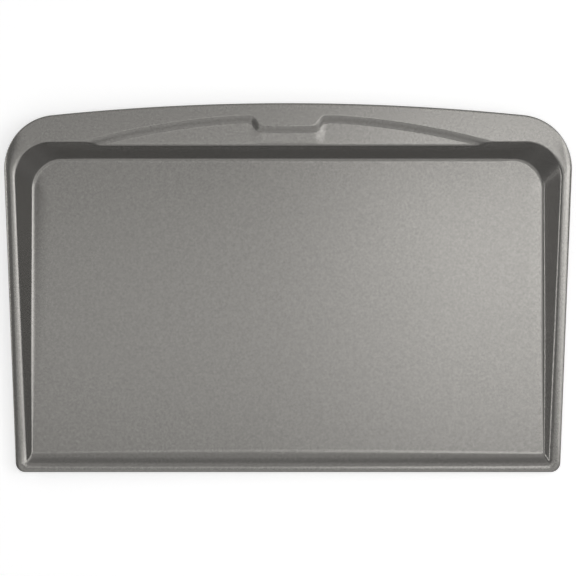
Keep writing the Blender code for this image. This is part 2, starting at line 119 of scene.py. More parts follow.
class Line:
    """A line round the right half of the plan: back, back corner, side, front corner and front."""

    def __init__(self, back_y, front_y, side_back, side_front, back_radius, front_radius, arch=None):
        side_back, side_front = np.array(side_back), np.array(side_front)
        down = unit(side_front - side_back)
        out = np.array([-down[1], down[0]])
        self.back_y, self.front_y, self.arch = back_y, front_y, arch
        self.back_radius, self.front_radius = back_radius, front_radius
        self.side_angle = math.atan2(out[1], out[0])
        inner = side_back - out * back_radius
        if arch is None:
            self.back_centre = inner + down * (back_y - back_radius - inner[1]) / down[1]
            self.back_angle = math.pi / 2
        else:
            # The centre is on the side line moved inward, where the corner touches the arch from within.
            arch_centre = np.array([0.0, back_y - arch])
            offset, reach = inner - arch_centre, arch - back_radius
            half = offset @ down
            self.back_centre = inner - down * (half + math.sqrt(half * half - offset @ offset + reach**2))
            towards = self.back_centre - arch_centre
            self.back_angle = math.atan2(towards[1], towards[0])
        inner = side_back - out * front_radius
        self.front_centre = inner + down * (front_y + front_radius - inner[1]) / down[1]
        self.back_end_x = self.round_back(0.0)[0]

    def round_back(self, t):
        angle = mix(self.back_angle, self.side_angle, t)
        return self.back_centre + self.back_radius * np.array([math.cos(angle), math.sin(angle)])

    def round_front(self, t):
        angle = mix(self.side_angle, -math.pi / 2, t)
        return self.front_centre + self.front_radius * np.array([math.cos(angle), math.sin(angle)])

    def along_back(self, x):
        sag = 0.0 if self.arch is None else self.arch - math.sqrt(self.arch**2 - x * x)
        return np.array([x, self.back_y - sag])

    def along_side(self, t):
        return mix(self.round_back(1.0), self.round_front(0.0), t)

    def along_front(self, t):
        return np.array([self.front_centre[0] * (1.0 - t), self.front_y])


# %% [markdown]
# The side walls are lower at the front, and they lean at a fixed angle, so their top edges come closer
# together towards the front. The rim follows them.

# %% The three lines of this sheet
FOOT_CORNERS = (24.0 * MM, 3.0 * MM)
TOP_CORNERS = (27.0 * MM, 1.8 * MM)
EDGE_CORNERS = (41.0 * MM, 7.3 * MM)
SIDE_RIM_BACK, SIDE_RIM_FRONT = 7.65 * MM, 7.45 * MM
HANDLE_ARCH = 1771.0 * MM

FALL_START_Y = WALL_TOP_Y - TOP_CORNERS[0]
TOP_X_BACK = FOOT_X_BACK + WALL_RISE / math.tan(WALL_ANGLE)
TOP_X_FRONT = FOOT_X_FRONT + LIP_RISE / math.tan(WALL_ANGLE)

foot_line = Line(
    WALL_FOOT_Y, LIP_FOOT_Y, (FOOT_X_BACK, FALL_START_Y), (FOOT_X_FRONT, LIP_TOP_Y), *FOOT_CORNERS
)
top_line = Line(
    WALL_TOP_Y, LIP_TOP_Y, (TOP_X_BACK, FALL_START_Y), (TOP_X_FRONT, LIP_TOP_Y), *TOP_CORNERS
)
edge_line = Line(
    BACK_EDGE_Y,
    FRONT_EDGE_Y,
    (TOP_X_BACK + SIDE_RIM_BACK, FALL_START_Y),
    (TOP_X_FRONT + SIDE_RIM_FRONT, LIP_TOP_Y),
    *EDGE_CORNERS,
    HANDLE_ARCH,
)
LINES = (foot_line, top_line, edge_line)
print("overall", round(2 * edge_line.round_back(1.0)[0] / MM, 1), "mm wide")

# %% [markdown]
# ## One section of the sheet
# Cut across the rim anywhere and the metal makes the same moves: floor, a bend up, a straight wall, a bend
# out, the rim, and a half roll under the edge that traps the base sheet. So one function draws the section up
# to the roll, between three points of the lines, and a station says where it stands. Bends are true arcs,
# because the thin bright line along a bend is what the eye reads first on satin metal.

# %% Arcs, and a station round the rim
WALL_FOOT_BEND, LIP_FOOT_BEND = 5.2 * MM, 16.0 * MM
WALL_TOP_BEND, SIDE_TOP_BEND, LIP_TOP_BEND = 1.5 * MM, 6.3 * MM, 9.0 * MM
RIM_RISE = math.radians(8.0)
RIM_FALL, FRONT_FALL = math.radians(26.0), math.radians(15.0)
GROOVE_SLOPE = math.tan(math.radians(4.5))
GROOVE_WIDTH, FLAT_MARGIN = 15.0 * MM, 1.0 * MM
HEM_RADIUS = THICKNESS + HEM_CLEARANCE + THICKNESS / 2
FOOT_SHARE = 0.6
WALL_SPLIT = 0.6

BEND_STEPS, WALL_STEPS, WALL_TOP_STEPS = 10, 4, 10
RIM_STEPS, HEM_STEPS, LEG_STEPS, GROOVE_STEPS = 44, 12, 4, 8
LEAST_ANGLE = 1e-6


def turn_between(a, b):
    return math.acos(min(max(unit(a) @ unit(b), -1.0), 1.0))


def bend(corner, towards_a, towards_b, tangent, steps):
    """Points of the arc that rounds a corner, from one leg to the other."""
    middle = unit(towards_a + towards_b)
    centre = corner + middle * tangent / (towards_a @ middle)
    start, end = corner + towards_a * tangent - centre, corner + towards_b * tangent - centre
    angle = turn_between(start, end)
    shares = [k / steps for k in range(steps + 1)]
    if angle < LEAST_ANGLE:
        return [corner + mix(towards_a, towards_b, s) * tangent for s in shares]
    return [
        centre + (start * math.sin(angle * (1 - s)) + end * math.sin(angle * s)) / math.sin(angle)
        for s in shares
    ]


def wall_rise(y):
    """How high the wall stands at this place: full height at the back, lip height at the front."""
    t = (y - LIP_TOP_Y) / (FALL_START_Y - LIP_TOP_Y)
    return mix(LIP_RISE, WALL_RISE, min(max(t, 0.0), 1.0))


def up_the_wall(start, end):
    """Points up a straight wall. They crowd in its upper part, where the grip panel cuts into it."""
    shares = spread(0.0, WALL_SPLIT, WALL_STEPS) + spread(WALL_SPLIT, 1.0, WALL_TOP_STEPS)[:-1]
    return [mix(start, end, s) for s in shares]


def crown(across, width, rise, fall):
    """Height of the rim's round back, which starts at one slope and ends at another, or of a plain slope."""
    sines = math.sin(rise) + math.sin(fall)
    if sines < LEAST_ANGLE:
        return across * math.tan(rise)
    radius = width / sines
    slope = math.asin(max(math.sin(rise) - across / radius, -1.0))
    return radius * (math.cos(slope) - math.cos(rise))


print("hem turns at", round(HEM_RADIUS / MM, 2), "mm,", BEND_STEPS, "steps to a bend")

# %% [markdown]
# The rim is a flat flange along the handle, which rises a little towards the back, and a rounded ridge down
# the sides. `to_side` and `to_front` blend one kind of rim into the next through the corners, so no crease
# shows where they meet. Beside the side walls the floor sinks by less than a millimetre, as a pressed floor
# can beside a deep wall, and this shallow groove dies out towards the low front corners.

# %% The section function
def section(places, to_side, to_front):
    """The sheet's upper face from the floor to the start of the hem."""
    foot_place, top_place, edge_place = places
    rise_angle = mix(HANDLE_TILT, RIM_RISE, to_side) * (1.0 - to_front)
    fall_angle = mix(mix(-HANDLE_TILT, RIM_FALL, to_side), FRONT_FALL, to_front)
    rise = wall_rise(top_place[1])
    groove_share = to_side * (1.0 - to_front) * (rise - LIP_RISE) / (WALL_RISE - LIP_RISE)
    groove_slope = GROOVE_SLOPE * groove_share
    groove_width = mix(FLAT_MARGIN, GROOVE_WIDTH, groove_share)

    inward = np.array([*unit(foot_place - top_place), groove_slope])
    top = np.array([*top_place, FLOOR_Z + rise])
    foot = np.array([*foot_place, FLOOR_Z])
    radius = mix(WALL_FOOT_BEND, LIP_FOOT_BEND, to_front)
    flat_floor_wall = top - foot
    most = FOOT_SHARE * np.linalg.norm(flat_floor_wall)
    tangent = min(radius * math.tan(turn_between(-inward, flat_floor_wall) / 2), most)
    foot[2] -= groove_slope * (groove_width / 2 + tangent)
    wall = top - foot
    foot_arc = bend(foot, unit(inward), unit(wall), tangent, BEND_STEPS)

    groove = []
    for reach in spread(0.0, groove_width, GROOVE_STEPS):
        lift = groove_slope * reach * (1.0 - reach / (2 * groove_width))
        groove.insert(0, foot_arc[0] + np.array([*(inward[:2] * reach), lift]))
    points = groove + foot_arc

    out = unit(edge_place - top_place)
    leg = np.array([*(out * math.cos(rise_angle)), math.sin(rise_angle)])
    radius = mix(mix(WALL_TOP_BEND, SIDE_TOP_BEND, to_side), LIP_TOP_BEND, to_front)
    most = (1.0 - FOOT_SHARE) * np.linalg.norm(wall)
    tangent = min(radius * math.tan(turn_between(wall, leg) / 2), most)
    points += up_the_wall(points[-1], top - unit(wall) * tangent)
    points += bend(top, -unit(wall), leg, tangent, BEND_STEPS)

    start, lift = tangent * math.cos(rise_angle), tangent * math.sin(rise_angle)
    end = np.linalg.norm(edge_place - top_place) - HEM_RADIUS * (1.0 - math.sin(fall_angle))
    for across in spread(start, end, RIM_STEPS):
        height = lift + crown(across - start, end - start, rise_angle, fall_angle)
        points.append(np.array([*(top_place + out * across), top[2] + height]))
    return points


print("groove beside the side walls:", round(GROOVE_WIDTH / MM, 1), "mm wide at the back")

# %% [markdown]
# ## Stations
# Flat stretches need few stations and bends need many. The pad in the middle of the handle and the tips of
# the grip panel have small features, so stations crowd there too.

# %% Sections at every station
PAD_ZONE = (15.0 * MM, 36.0 * MM)
TIP_ZONE = (136.0 * MM, 160.0 * MM)
RIM_ROUNDS_FROM = 0.4
BEFORE_PAD_STEPS, PAD_STEPS, PANEL_STEPS, TIP_STEPS, PAST_TIP_STEPS = 8, 36, 34, 24, 10
BACK_CORNER_STEPS, SIDE_STEPS, FRONT_CORNER_STEPS, FRONT_STEPS = 40, 12, 22, 8


def stations():
    """Each station's three places, with how far its rim has turned into a side rim and a front rim."""
    places = [0.0]
    places += spread(0.0, PAD_ZONE[0], BEFORE_PAD_STEPS)
    places += spread(PAD_ZONE[0], PAD_ZONE[1], PAD_STEPS)
    places += spread(PAD_ZONE[1], TIP_ZONE[0], PANEL_STEPS)
    places += spread(TIP_ZONE[0], TIP_ZONE[1], TIP_STEPS)
    for x in places:
        yield [line.along_back(x) for line in LINES], 0.0, 0.0
    for t in spread(0.0, 1.0, PAST_TIP_STEPS):
        yield [line.along_back(mix(TIP_ZONE[1], line.back_end_x, t)) for line in LINES], 0.0, 0.0
    for t in spread(0.0, 1.0, BACK_CORNER_STEPS):
        rounded = smooth((t - RIM_ROUNDS_FROM) / (1.0 - RIM_ROUNDS_FROM))
        yield [line.round_back(t) for line in LINES], rounded, 0.0
    for t in spread(0.0, 1.0, SIDE_STEPS):
        yield [line.along_side(t) for line in LINES], 1.0, 0.0
    for t in spread(0.0, 1.0, FRONT_CORNER_STEPS):
        yield [line.round_front(t) for line in LINES], 1.0, smooth(t)
    for t in spread(0.0, 1.0, FRONT_STEPS):
        yield [line.along_front(t) for line in LINES], 1.0, 1.0


all_stations = list(stations())
grid = np.array([section(*station) for station in all_stations]).transpose(1, 0, 2)
print("upper face:", grid.shape[0], "rows by", grid.shape[1], "stations on one half")

# %% [markdown]
# The hem and the base sheet both follow the surface at a set distance, so they need its normals. Each comes
# from two directions crossed: sideways along its row, and outward along its section.

# %% Normals, and the hem rolled under the edge
def directions(points):
    """The direction along a line of points at each of them, taken from both sides."""
    runs = points[1:] - points[:-1]
    runs = runs / np.linalg.norm(runs, axis=-1, keepdims=True)
    return np.concatenate([runs[:1], runs[:-1] + runs[1:], runs[-1:]])


def surface_normals(rows):
    """Sideways directions and normals. Both ends of a row lie on the mirror plane, so they head along x."""
    outward = directions(rows)
    sideways = directions(rows.transpose(1, 0, 2)).transpose(1, 0, 2)
    sideways[:, [0, -1], 1:] = 0.0
    normals = np.cross(sideways, outward)
    normals /= np.linalg.norm(normals, axis=-1, keepdims=True)
    sideways /= np.linalg.norm(sideways, axis=-1, keepdims=True)
    return sideways, normals


def back_from_edge(points, normals, distance):
    """Place and normal at this distance inward from the end of a section."""
    runs = np.linalg.norm(np.diff(points, axis=0), axis=-1)[::-1]
    reach = np.concatenate([[0.0], np.cumsum(runs)])
    k = min(int(np.searchsorted(reach, distance)), len(runs))
    k = max(k, 1)
    t = min((distance - reach[k - 1]) / runs[k - 1], 1.0)
    last = len(points) - k
    return mix(points[last], points[last - 1], t), unit(mix(normals[last], normals[last - 1], t))


def hem(points, sideways, normals):
    """The half roll round the base sheet's edge, and the leg lying back under it."""
    normal = normals[-1]
    centre, out = points[-1] - normal * HEM_RADIUS, np.cross(normal, sideways)
    rows = []
    for angle in spread(0.0, math.pi, HEM_STEPS):
        rows.append(centre + (normal * math.cos(angle) + out * math.sin(angle)) * HEM_RADIUS)
    for distance in spread(0.0, HEM_LENGTH, LEG_STEPS):
        place, tilt = back_from_edge(points, normals, distance)
        rows.append(place - tilt * 2 * HEM_RADIUS)
    return rows


sideways, normals = surface_normals(grid)
top_sections = [
    [*grid[:, k], *hem(grid[:, k], sideways[-1, k], normals[:, k])] for k in range(grid.shape[1])
]
top_rows = np.array(top_sections).transpose(1, 0, 2)
hem_reach = top_rows[..., 0].max() - grid[..., 0].max()
print("hem reaches", round(hem_reach / MM, 2), "mm past the last row")

# %% [markdown]
# ## The base sheet's section
# Its flange lies a clearance under the baking sheet's. From there its wall runs down more steeply to its own
# floor, which leaves the wedge of air between the walls and the flat layer of air between the floors.

# %% Base sheet sections
NEST = THICKNESS + HEM_CLEARANCE
BASE_FOOT_BEND, BASE_TOP_BEND = 3.0 * MM, 2.0 * MM
NEST_START = 4.25 * MM
SLOPE_REACH = 0.2 * MM


def base_section(points, normals, foot_place):
    """The base sheet's upper face: its floor, its own steeper wall, and the flange under the rim."""
    rim = points[-RIM_STEPS - 1 :]
    rim_length = np.linalg.norm(np.diff(rim, axis=0), axis=-1).sum()
    width = max(rim_length, NEST_START)
    flange = []
    for k in range(RIM_STEPS + 1):
        place, tilt = back_from_edge(points, normals, width * (1 - k / RIM_STEPS))
        flange.append(place - tilt * NEST)
    inner, _ = back_from_edge(points, normals, width + SLOPE_REACH)
    outer, _ = back_from_edge(points, normals, width)
    into_wall = unit(inner - outer)
    foot = np.array([*foot_place, BASE_FLOOR_Z])
    tangent = BASE_TOP_BEND * math.tan(turn_between(into_wall, foot - flange[0]) / 2)
    top = flange[0] + into_wall * tangent
    wall, inward = top - foot, np.array([*(foot_place - top[:2]), 0.0])
    foot_tangent = BASE_FOOT_BEND * math.tan(turn_between(-inward, wall) / 2)
    rows = bend(foot, unit(inward), unit(wall), foot_tangent, BEND_STEPS)
    rows.insert(0, rows[0] + unit(inward) * FLAT_MARGIN)
    rows += up_the_wall(rows[-1], top - unit(wall) * tangent)
    rows += bend(top, -unit(wall), -into_wall, tangent, BEND_STEPS)[:-1]
    return rows + flange


feet = [places[0] for places, _, _ in all_stations]
base_rows = np.array(
    [base_section(grid[:, k], normals[:, k], feet[k]) for k in range(grid.shape[1])]
).transpose(1, 0, 2)
print("base sheet:", base_rows.shape[0], "rows")

# %% [markdown]
# ## Pressing the grip panel
# The panel sunk in the handle follows a rule, so Geometry Nodes presses it: the distance from the middle line
# of its step gives how deep the sheet is sunk, and every point higher than the pressed level drops to it.
# The panel is the area under an arch, less a flared pad. A smooth maximum joins the two distances and
# rounds the corner between them. In front of the pad the panel climbs a low ramp, so the pad's front step is
# the shallowest part of the outline. Python writes the tree as a formula, one small function per math node.

# %% A small kit for formulas in a node tree
class Formula:
    """Adds math nodes to a tree. Each call takes sockets or numbers and gives back the result's socket."""

    def __init__(self, tree):
        self.tree = tree

    def math(self, operation, *values, clamp=False):
        node = self.tree.nodes.new("ShaderNodeMath")
        node.operation, node.use_clamp = operation, clamp
        for socket, value in zip(node.inputs, values):
            if isinstance(value, (int, float)):
                socket.default_value = value
            else:
                self.tree.links.new(value, socket)
        return node.outputs[0]

    def add(self, a, b):
        return self.math("ADD", a, b)

    def sub(self, a, b):
        return self.math("SUBTRACT", a, b)

    def mul(self, a, b):
        return self.math("MULTIPLY", a, b)

    def div(self, a, b):
        return self.math("DIVIDE", a, b)

    def root_of_squares(self, a, b):
        return self.math("SQRT", self.add(self.mul(a, a), self.mul(b, b)))

    def smooth_max(self, a, b, rounding):
        gap = self.root_of_squares(self.sub(a, b), rounding)
        return self.mul(self.add(self.add(a, b), gap), 0.5)

    def smooth_step(self, t):
        t = self.math("MULTIPLY", t, 1.0, clamp=True)
        return self.mul(self.mul(t, t), self.sub(3.0, self.mul(t, 2.0)))


def new_tree(name, inputs):
    """A Geometry Nodes tree with a geometry in and out, and named inputs. Gives it and their identifiers."""
    tree = bpy.data.node_groups.new(name, "GeometryNodeTree")
    tree.interface.new_socket("Geometry", in_out="INPUT", socket_type="NodeSocketGeometry")
    tree.interface.new_socket("Geometry", in_out="OUTPUT", socket_type="NodeSocketGeometry")
    identifiers = {}
    for label, kind in inputs:
        socket = tree.interface.new_socket(label, in_out="INPUT", socket_type=kind)
        identifiers[label] = socket.identifier
    return tree, identifiers


# %% The grip panel's tree
PANEL_DEPTH, PANEL_TILT = 2.6 * MM, math.radians(0.6)
ARCH_RADIUS, ARCH_INSET = 590.0 * MM, 11.2 * MM

PANEL_SIZES = {
    "Handle Level": HANDLE_Z,
    "Handle Slope": math.tan(HANDLE_TILT),
    "Wall Top Y": WALL_TOP_Y,
    "Wall Foot Y": WALL_FOOT_Y,
    "Panel Depth": PANEL_DEPTH,
    "Panel Slope": math.tan(PANEL_TILT),
    "Panel Low Y": WALL_TOP_Y - PANEL_DEPTH,
    "Arch Radius": ARCH_RADIUS,
    "Arch Centre Y": BACK_EDGE_Y - ARCH_INSET - ARCH_RADIUS,
    "Step Width": 6.5 * MM,
    "Pad Half Width": 22.8 * MM,
    "Pad Foot Y": BACK_EDGE_Y - 20.0 * MM,
    "Pad Flare": math.radians(24.5),
    "Pad Step Width": 5.2 * MM,
    "Corner Rounding": 3.0 * MM,
    "Ramp Rise": 0.9 * MM,
    "Ramp Half Width": 24.4 * MM,
    "Ramp Side": 9.0 * MM,
    "Knee": 0.54 * MM,
}
KNEE_FADE_START, KNEE_FADE = 4.0 * MM, 5.0 * MM

panel_tree, panel_inputs = new_tree(
    "press the grip panel",
    [(label, "NodeSocketFloat") for label in PANEL_SIZES] + [("Coating", "NodeSocketMaterial")],
)


def build_panel_tree():
    tree, nodes = panel_tree, panel_tree.nodes
    f = Formula(tree)
    given, result = nodes.new("NodeGroupInput"), nodes.new("NodeGroupOutput")
    size = {label: given.outputs[label] for label in PANEL_SIZES}
    apart = nodes.new("ShaderNodeSeparateXYZ")
    tree.links.new(nodes.new("GeometryNodeInputPosition").outputs[0], apart.inputs[0])
    x, y, z = apart.outputs
    beyond_arch = f.sub(f.root_of_squares(x, f.sub(y, size["Arch Centre Y"])), size["Arch Radius"])
    above_foot = f.sub(y, size["Pad Foot Y"])
    edge_x = f.add(size["Pad Half Width"], f.mul(above_foot, f.math("TANGENT", size["Pad Flare"])))
    beside_pad = f.mul(f.sub(f.math("ABSOLUTE", x), edge_x), f.math("COSINE", size["Pad Flare"]))
    outside_pad = f.smooth_max(beside_pad, f.mul(above_foot, -1.0), size["Corner Rounding"])
    on_arch_step = f.div(beyond_arch, size["Step Width"])
    on_pad_step = f.mul(f.div(outside_pad, size["Pad Step Width"]), -1.0)
    rounding = f.div(size["Corner Rounding"], size["Step Width"])
    off_panel = f.smooth_step(f.add(f.smooth_max(on_arch_step, on_pad_step, rounding), 0.5))
    above_low = f.sub(y, size["Panel Low Y"])
    climb = f.math("DIVIDE", above_low, f.sub(size["Pad Foot Y"], size["Panel Low Y"]), clamp=True)
    beside_ramp = f.div(f.sub(f.math("ABSOLUTE", x), size["Ramp Half Width"]), size["Ramp Side"])
    ramp = f.mul(f.mul(size["Ramp Rise"], climb), f.sub(1.0, f.smooth_step(f.add(beside_ramp, 0.5))))
    depth = f.sub(f.sub(size["Panel Depth"], f.mul(above_low, size["Panel Slope"])), ramp)
    sunk = f.mul(f.mul(depth, f.sub(1.0, off_panel)), f.math("GREATER_THAN", y, size["Wall Foot Y"]))
    past_foot = f.sub(f.sub(y, size["Wall Foot Y"]), KNEE_FADE_START)
    on_wall = f.smooth_step(f.div(past_foot, KNEE_FADE))
    knee = f.mul(f.mul(size["Knee"], f.div(sunk, size["Panel Depth"])), on_wall)
    flange = f.add(size["Handle Level"], f.mul(f.sub(y, size["Wall Top Y"]), size["Handle Slope"]))
    over = f.sub(z, f.sub(flange, sunk))
    drop = f.mul(f.add(over, f.root_of_squares(over, knee)), 0.5)
    shift, move = nodes.new("ShaderNodeCombineXYZ"), nodes.new("GeometryNodeSetPosition")
    touched = f.math("GREATER_THAN", sunk, 0.0)
    tree.links.new(f.mul(drop, -1.0), shift.inputs[2])
    tree.links.new(given.outputs["Geometry"], move.inputs["Geometry"])
    tree.links.new(touched, move.inputs["Selection"])
    tree.links.new(shift.outputs[0], move.inputs["Offset"])
    realize, finish = nodes.new("GeometryNodeRealizeInstances"), nodes.new("GeometryNodeSetMaterial")
    tree.links.new(move.outputs[0], realize.inputs[0])
    tree.links.new(realize.outputs[0], finish.inputs["Geometry"])
    tree.links.new(given.outputs["Coating"], finish.inputs["Material"])
    tree.links.new(finish.outputs[0], result.inputs[0])


build_panel_tree()
print("panel tree:", len(panel_tree.nodes), "nodes")

# %% [markdown]
# ## Spacers between the floors
# Round spacers pressed up in the base sheet keep the two floors apart. They are all alike and stand on a
# grid, so one is turned from its profile and a second tree instances it on grid points. The floor has a hole
# for each, and merging by distance closes the seams.

# %% One spacer
SPACER_FOOT, SPACER_TOP = 10.0 * MM, 5.0 * MM
SPACER_BEND = 1.2 * MM
SPACER_CLEARANCE = 0.3 * MM
SPACER_HEIGHT = AIR_GAP - SPACER_CLEARANCE
SPACER_PITCH = (95.0 * MM, 72.0 * MM)
SPACER_COUNT = (2, 3)
SPACER_SIDES, SPACER_BEND_STEPS = 48, 6
MIDDLE_Y = (WALL_FOOT_Y + LIP_FOOT_Y) / 2
MERGE_DISTANCE = 0.05 * MM


def spacer_profile():
    """Radius and height up a spacer. It starts on a flat ring, so that the floor round it shades flat."""
    slope = np.array([SPACER_TOP - SPACER_FOOT, SPACER_HEIGHT])
    flat, wall = np.array([1.0, 0.0]), unit(slope)
    foot = bend(np.array([SPACER_FOOT, 0.0]), flat, wall, SPACER_BEND, SPACER_BEND_STEPS)
    top_corner = np.array([SPACER_TOP, SPACER_HEIGHT])
    top = bend(top_corner, -wall, -flat, SPACER_BEND, SPACER_BEND_STEPS)
    flat_ring = foot[0] + flat * FLAT_MARGIN
    return [flat_ring] + foot + top


def ring_points(radius, x=0.0, y=0.0, z=0.0):
    turns = [2 * math.pi * k / SPACER_SIDES for k in range(SPACER_SIDES)]
    return [(x + radius * math.cos(turn), y + radius * math.sin(turn), z) for turn in turns]


def turned_spacer():
    bm = bmesh.new()
    rings = [[bm.verts.new(p) for p in ring_points(r, z=z)] for r, z in spacer_profile()]
    for outer, inner in zip(rings, rings[1:]):
        for k in range(SPACER_SIDES):
            following = (k + 1) % SPACER_SIDES
            bm.faces.new((outer[k], outer[following], inner[following], inner[k]))
    bm.faces.new(rings[-1])
    mesh = bpy.data.meshes.new("spacer")
    bm.to_mesh(mesh)
    bm.free()
    return bpy.data.objects.new("spacer", mesh)


spacer = turned_spacer()
print("spacer:", len(spacer.data.polygons), "faces,", round(SPACER_HEIGHT / MM, 1), "mm high")

# %% The spacers' tree
def build_spacer_tree():
    labels = ("Column Pitch", "Row Pitch", "Middle X", "Middle Y", "Floor Level", "Seam Distance")
    tree, identifiers = new_tree(
        "set out the spacers",
        [("Spacer", "NodeSocketObject"), ("Columns", "NodeSocketInt"), ("Rows", "NodeSocketInt")]
        + [(label, "NodeSocketFloat") for label in labels]
        + [("Coating", "NodeSocketMaterial")],
    )
    f, nodes, link = Formula(tree), tree.nodes, tree.links.new
    given, result = nodes.new("NodeGroupInput"), nodes.new("NodeGroupOutput")
    grid_node, place = nodes.new("GeometryNodeMeshGrid"), nodes.new("GeometryNodeTransform")
    middle, shape = nodes.new("ShaderNodeCombineXYZ"), nodes.new("GeometryNodeObjectInfo")
    scatter, join = nodes.new("GeometryNodeInstanceOnPoints"), nodes.new("GeometryNodeJoinGeometry")
    realize, merge = nodes.new("GeometryNodeRealizeInstances"), nodes.new("GeometryNodeMergeByDistance")
    finish = nodes.new("GeometryNodeSetMaterial")
    link(given.outputs["Columns"], grid_node.inputs["Vertices X"])
    link(given.outputs["Rows"], grid_node.inputs["Vertices Y"])
    wide = f.mul(given.outputs["Column Pitch"], f.sub(given.outputs["Columns"], 1.0))
    deep = f.mul(given.outputs["Row Pitch"], f.sub(given.outputs["Rows"], 1.0))
    link(wide, grid_node.inputs["Size X"])
    link(deep, grid_node.inputs["Size Y"])
    for axis, label in enumerate(("Middle X", "Middle Y", "Floor Level")):
        link(given.outputs[label], middle.inputs[axis])
    link(grid_node.outputs["Mesh"], place.inputs["Geometry"])
    link(middle.outputs[0], place.inputs["Translation"])
    link(given.outputs["Spacer"], shape.inputs["Object"])
    link(place.outputs[0], scatter.inputs["Points"])
    link(shape.outputs["Geometry"], scatter.inputs["Instance"])
    link(given.outputs["Geometry"], join.inputs[0])
    link(scatter.outputs[0], join.inputs[0])
    link(join.outputs[0], realize.inputs[0])
    link(realize.outputs[0], merge.inputs["Geometry"])
    link(given.outputs["Seam Distance"], merge.inputs["Distance"])
    link(merge.outputs[0], finish.inputs["Geometry"])
    link(given.outputs["Coating"], finish.inputs["Material"])
    link(finish.outputs[0], result.inputs[0])
    return tree, identifiers


spacer_tree, spacer_inputs = build_spacer_tree()
print("spacer tree:", len(spacer_tree.nodes), "nodes")

# %% [markdown]
# ## The coating
# Both sheets carry a grey non-stick coating with metal in it. It is satin, so its highlights are wide, and a
# close look shows a fine even grain. Noise at two scales varies the colour a little, the wider noise varies
# the roughness too, and a very shallow bump breaks up the reflection.

# %% Coating material
TOP_GREY = (0.340, 0.330, 0.312)
UNDERSIDE_GREY = (0.279, 0.271, 0.257)
TOP_ROUGHNESS, UNDERSIDE_ROUGHNESS = 0.26, 0.34
GRAIN_SIZE, CLOUD_SIZE = 1.6 * MM, 60.0 * MM
FLECK_SIZE = GRAIN_SIZE / 3
TINT_RANGE = 0.20
CLOUD_SHARE, CLOUD_ROUGHNESS = 0.12, 0.05
FLECK_SHARE = 0.4
BUMP_HEIGHT, BUMP_STRENGTH = 0.02 * MM, 0.32
METAL_SHARE = 0.85


def coating(name, grey, roughness):
    """A satin metallic grey, with fine grain, soft clouds of tone and a shallow bump."""
    material = bpy.data.materials.new(name)
    material.use_nodes = True
    tree = material.node_tree
    nodes, link = tree.nodes, tree.links.new
    f, shader = Formula(tree), nodes["Principled BSDF"]
    place = nodes.new("ShaderNodeTexCoord").outputs["Object"]

    def noise(size, detail):
        node = nodes.new("ShaderNodeTexNoise")
        node.inputs["Scale"].default_value = 1.0 / size
        node.inputs["Detail"].default_value = detail
        link(place, node.inputs["Vector"])
        return node.outputs["Fac"]

    grain, cloud = noise(GRAIN_SIZE, detail=2.0), noise(CLOUD_SIZE, detail=3.0)
    fleck = noise(FLECK_SIZE, detail=1.0)
    share = f.add(grain, f.mul(f.sub(cloud, 0.5), CLOUD_SHARE))
    tint = nodes.new("ShaderNodeMix")
    tint.data_type = "RGBA"
    tint.inputs["A"].default_value = (*(v * (1.0 - TINT_RANGE) for v in grey), 1.0)
    tint.inputs["B"].default_value = (*(v * (1.0 + TINT_RANGE) for v in grey), 1.0)
    link(share, tint.inputs["Factor"])
    link(tint.outputs["Result"], shader.inputs["Base Color"])
    link(f.add(f.mul(f.sub(cloud, 0.5), CLOUD_ROUGHNESS), roughness), shader.inputs["Roughness"])
    bump = nodes.new("ShaderNodeBump")
    bump.inputs["Distance"].default_value = BUMP_HEIGHT
    bump.inputs["Strength"].default_value = BUMP_STRENGTH
    link(f.add(grain, f.mul(fleck, FLECK_SHARE)), bump.inputs["Height"])
    link(bump.outputs["Normal"], shader.inputs["Normal"])
    shader.inputs["Metallic"].default_value = METAL_SHARE
    return material


top_coating = coating("satin_top_coating", TOP_GREY, TOP_ROUGHNESS)
underside_coating = coating("dull_underside_coating", UNDERSIDE_GREY, UNDERSIDE_ROUGHNESS)
print("coatings:", top_coating.name, "and", underside_coating.name)

# %% [markdown]
# ## From rows to sheets
# The rows become faces, the trees do their pressing, and then the usual pair of modifiers finishes a pressed
# part: Mirror makes the other half, and Solidify gives the metal its thickness downwards, so the drawn face
# stays where it was drawn.

# %% Building a sheet
ON_MIRROR = 0.01 * MM
SHARP_ANGLE = math.radians(50.0)


def half_mesh(name, rows, spacer_holes):
    """Faces between the rows, and a flat floor inside the first row with a hole for each spacer."""
    bm = bmesh.new()
    rows = np.where(np.abs(rows) < ON_MIRROR, 0.0, rows)
    lines = [[bm.verts.new(point) for point in row] for row in rows]
    for lower, upper in zip(lines, lines[1:]):
        for k in range(len(lower) - 1):
            bm.faces.new((lower[k], lower[k + 1], upper[k + 1], upper[k]))
    rim = lines[0]
    around = {bm.edges.get(pair) for pair in zip(rim, rim[1:])}
    around.add(bm.edges.new((rim[-1], rim[0])))
    for x, y in spacer_holes:
        ring = [bm.verts.new(p) for p in ring_points(spacer_profile()[0][0], x, y, rim[0].co.z)]
        around.update(bm.edges.new(pair) for pair in zip(ring, ring[1:] + ring[:1]))
    bmesh.ops.triangle_fill(bm, edges=list(around), use_beauty=True, normal=(0.0, 0.0, 1.0))
    bm.normal_update()
    mesh = bpy.data.meshes.new(name)
    bm.to_mesh(mesh)
    bm.free()
    return mesh


def run_tree(sheet, tree, values, identifiers):
    """Adds a tree as a modifier. Its inputs are set by identifier, since names may repeat."""
    modifier = sheet.modifiers.new(tree.name, "NODES")
    modifier.node_group = tree
    for label, value in values.items():
        modifier[identifiers[label]] = value


